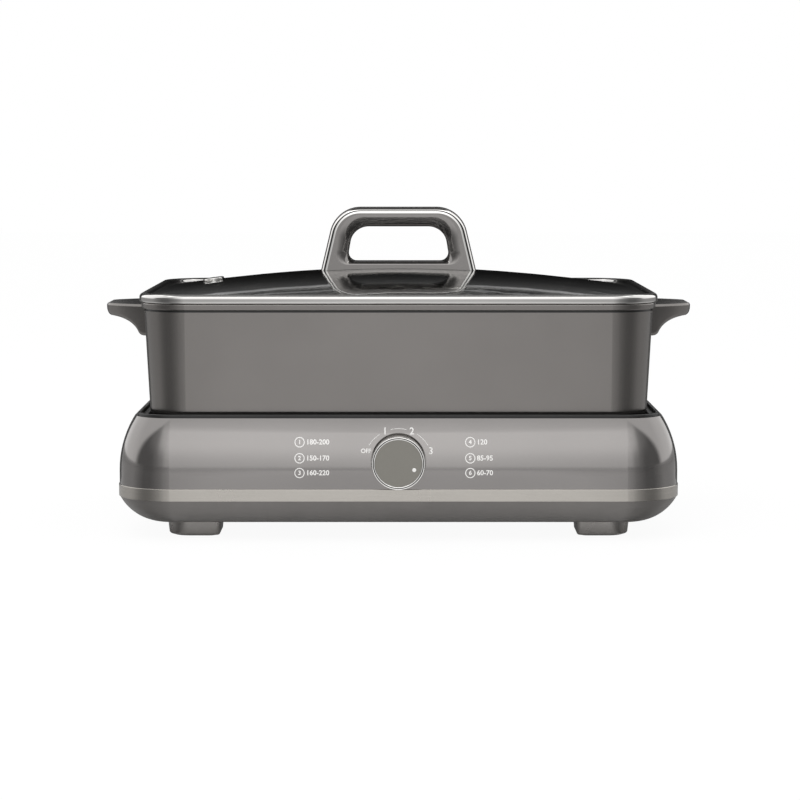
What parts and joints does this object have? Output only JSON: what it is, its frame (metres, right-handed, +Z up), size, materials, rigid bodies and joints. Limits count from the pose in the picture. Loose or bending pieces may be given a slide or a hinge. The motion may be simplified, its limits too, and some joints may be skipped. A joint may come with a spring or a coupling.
{
  "type": "electric cooking pot",
  "caption": "Rectangular electric cooking pot: lift-off pan with lug handles and a domed glass lid with a loop grip, on a heated base with a front knob.",
  "frame": {"origin": "on the table, under the middle of the whole object", "axes": "+X to the right along the long side, +Y to the back, +Z up; the knob faces -Y"},
  "size_m": [0.3958, 0.2591, 0.2137],
  "materials": {
    "lid_glass": "clear tempered glass",
    "bright_steel": "polished",
    "rim_steel": "rolled, satin",
    "grip_lacquer": "glossy metallic taupe",
    "pot_coat": "satin metallic taupe",
    "housing_lacquer": "glossy metallic taupe",
    "band_metal": "brushed warm silver",
    "lower_plastic": "satin taupe",
    "deck_black": "fine matt",
    "plate_aluminium": "turned",
    "heater_steel": "oxidised",
    "sheet_steel": "plain sheet",
    "screw_steel": "plated",
    "silicone": "matt",
    "pad_rubber": "matt",
    "knob_lacquer": "satin metallic taupe",
    "mark_white": "smooth",
    "switch_plastic": "fine matt",
    "contact_brass": "plain",
    "lead_brown": "smooth",
    "lead_blue": "smooth",
    "lead_green": "smooth"
  },
  "bodies": {
    "base": {"upper_housing": "housing_lacquer", "trim_band": "band_metal", "lower_housing": "lower_plastic", "deck": "deck_black", "heat_plate": "plate_aluminium", "heater_tube": "heater_steel", "plate_seal": "silicone", "heat_shield": "sheet_steel", "plate_standoffs": "sheet_steel", "plate_screws": "screw_steel", "housing_screws": "screw_steel", "sensor_spring": "screw_steel", "sensor_bracket": "sheet_steel", "bracket_screws": "screw_steel", "rotary_switch": "switch_plastic", "switch_nut": "screw_steel", "switch_tabs": "contact_brass", "power_inlet": "switch_plastic", "inlet_pins": "contact_brass", "thermal_fuse": "sheet_steel", "fuse_clip": "sheet_steel", "lead_live": "lead_brown", "lead_switched": "lead_brown", "lead_fused": "lead_brown", "lead_neutral": "lead_blue", "lead_earth": "lead_green", "foot_screws": "screw_steel", "foot_front_left": "lower_plastic", "pad_front_left": "pad_rubber", "foot_front_right": "lower_plastic", "pad_front_right": "pad_rubber", "foot_back_left": "lower_plastic", "pad_back_left": "pad_rubber", "foot_back_right": "lower_plastic", "pad_back_right": "pad_rubber"},
    "pot": {"pot_body": "pot_coat", "pot_handle_left": "pot_coat", "pot_handle_right": "pot_coat", "handle_screws": "screw_steel"},
    "lid": {"lid_glass": "lid_glass", "lid_rim": "rim_steel", "lid_grip": "grip_lacquer", "grip_seal": "silicone", "grip_washers": "silicone", "grip_screws": "screw_steel", "steam_vent": "bright_steel"},
    "knob": {"knob_body": "knob_lacquer", "knob_ring": "bright_steel", "knob_cap": "knob_lacquer", "knob_dot": "mark_white", "switch_shaft": "screw_steel"},
    "sensor": {"sensor_cap": "plate_aluminium"}
  },
  "joints": [
    {"name": "pot_lift", "type": "slide", "parent": "base", "child": "pot", "axis": [0, 0, 1], "range_m": [0, 0.1]},
    {"name": "lid_lift", "type": "slide", "parent": "pot", "child": "lid", "axis": [0, 0, 1], "range_m": [0, 0.1]},
    {"name": "knob_turn", "type": "hinge", "parent": "base", "child": "knob", "pos_m": [0, -0.1295, 0.0534], "axis": [0, -1, 0], "range_deg": [0, 180]},
    {"name": "sensor_press", "type": "slide", "parent": "base", "child": "sensor", "axis": [0, 0, -1], "range_m": [0, 0.002], "stiffness_N_per_m": 200, "springref_m": -0.004, "deforming": ["sensor_spring"]}
  ]
}
